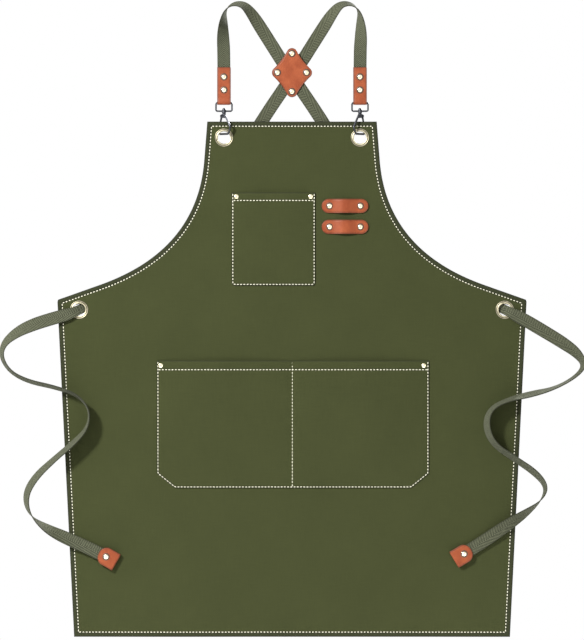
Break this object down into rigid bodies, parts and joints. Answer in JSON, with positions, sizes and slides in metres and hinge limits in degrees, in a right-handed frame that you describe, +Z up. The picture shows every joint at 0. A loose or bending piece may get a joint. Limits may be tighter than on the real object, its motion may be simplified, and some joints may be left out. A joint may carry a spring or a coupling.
{
  "type": "cross-back work apron",
  "caption": "Canvas bib apron with leather-patched crossed shoulder straps on snap hooks, eyelets, long waist ties, chest and divided lower pockets, and pen loops.",
  "frame": {"origin": "midway between the two shoulder strap loops, level with their undersides, where the apron hangs", "axes": "+Z up; the front with the pockets faces -Y; +X is the viewer's right from the front"},
  "size_m": [0.9083, 0.036, 0.9876],
  "materials": {
    "canvas": "olive cotton canvas",
    "webbing": "grey-green twill webbing",
    "leather": "tan vegetable-tanned leather with burnished edges",
    "rivet_brass": "polished pale brass",
    "eyelet_brass": "antique brass",
    "gunmetal": "gunmetal plated",
    "spring_steel": "bright spring wire"
  },
  "bodies": {
    "apron": {"apron_panel": "canvas", "chest_pocket": "canvas", "lower_pocket": "canvas", "shoulder_strap_left": "webbing", "shoulder_strap_right": "webbing", "waist_tie_left": "webbing", "waist_tie_right": "webbing", "cross_patch_front": "leather", "cross_patch_back": "leather", "hook_tab_left": "leather", "hook_tab_right": "leather", "pen_loop_upper": "leather", "pen_loop_lower": "leather", "tie_tab_left": "leather", "tie_tab_right": "leather", "chest_pocket_rivets": "rivet_brass", "lower_pocket_rivets": "rivet_brass", "pen_loop_rivets_upper": "rivet_brass", "pen_loop_rivets_lower": "rivet_brass", "cross_patch_rivets": "rivet_brass", "hook_tab_rivets_left": "rivet_brass", "hook_tab_rivets_right": "rivet_brass", "tie_tab_rivet_left": "rivet_brass", "tie_tab_rivet_right": "rivet_brass", "bib_eyelet_left": "eyelet_brass", "bib_eyelet_right": "eyelet_brass", "waist_eyelet_left": "eyelet_brass", "waist_eyelet_right": "eyelet_brass", "bib_eyelet_washer_left": "eyelet_brass", "bib_eyelet_washer_right": "eyelet_brass", "waist_eyelet_washer_left": "eyelet_brass", "waist_eyelet_washer_right": "eyelet_brass"},
    "strap_loop_left": {"strap_loop_left": "gunmetal"},
    "snap_hook_left": {"snap_hook_left": "gunmetal", "gate_pin_left": "gunmetal", "gate_spring_left": "spring_steel"},
    "snap_gate_left": {"snap_gate_left": "gunmetal"},
    "strap_loop_right": {"strap_loop_right": "gunmetal"},
    "snap_hook_right": {"snap_hook_right": "gunmetal", "gate_pin_right": "gunmetal", "gate_spring_right": "spring_steel"},
    "snap_gate_right": {"snap_gate_right": "gunmetal"}
  },
  "joints": [
    {"name": "strap_loop_left_rock", "type": "hinge", "parent": "apron", "child": "strap_loop_left", "pos_m": [-0.1055, 0, -0.148], "axis": [1, 0, 0], "range_deg": [-2, 2]},
    {"name": "snap_hook_left_swivel", "type": "hinge", "parent": "strap_loop_left", "child": "snap_hook_left", "pos_m": [-0.1055, 0, -0.1612], "axis": [0, 0, 1], "range_deg": [-100, 0]},
    {"name": "snap_gate_left_pivot", "type": "hinge", "parent": "snap_hook_left", "child": "snap_gate_left", "pos_m": [-0.10895, 0.00289, -0.1685], "axis": [-0.6428, -0.766, 0], "range_deg": [0, 8], "stiffness_Nm_per_rad": 0.004},
    {"name": "strap_loop_right_rock", "type": "hinge", "parent": "apron", "child": "strap_loop_right", "pos_m": [0.1055, 0, -0.148], "axis": [1, 0, 0], "range_deg": [-2, 2]},
    {"name": "snap_hook_right_swivel", "type": "hinge", "parent": "strap_loop_right", "child": "snap_hook_right", "pos_m": [0.1055, 0, -0.1612], "axis": [0, 0, -1], "range_deg": [-100, 0]},
    {"name": "snap_gate_right_pivot", "type": "hinge", "parent": "snap_hook_right", "child": "snap_gate_right", "pos_m": [0.10895, 0.00289, -0.1685], "axis": [-0.6428, 0.766, 0], "range_deg": [0, 8], "stiffness_Nm_per_rad": 0.004}
  ]
}
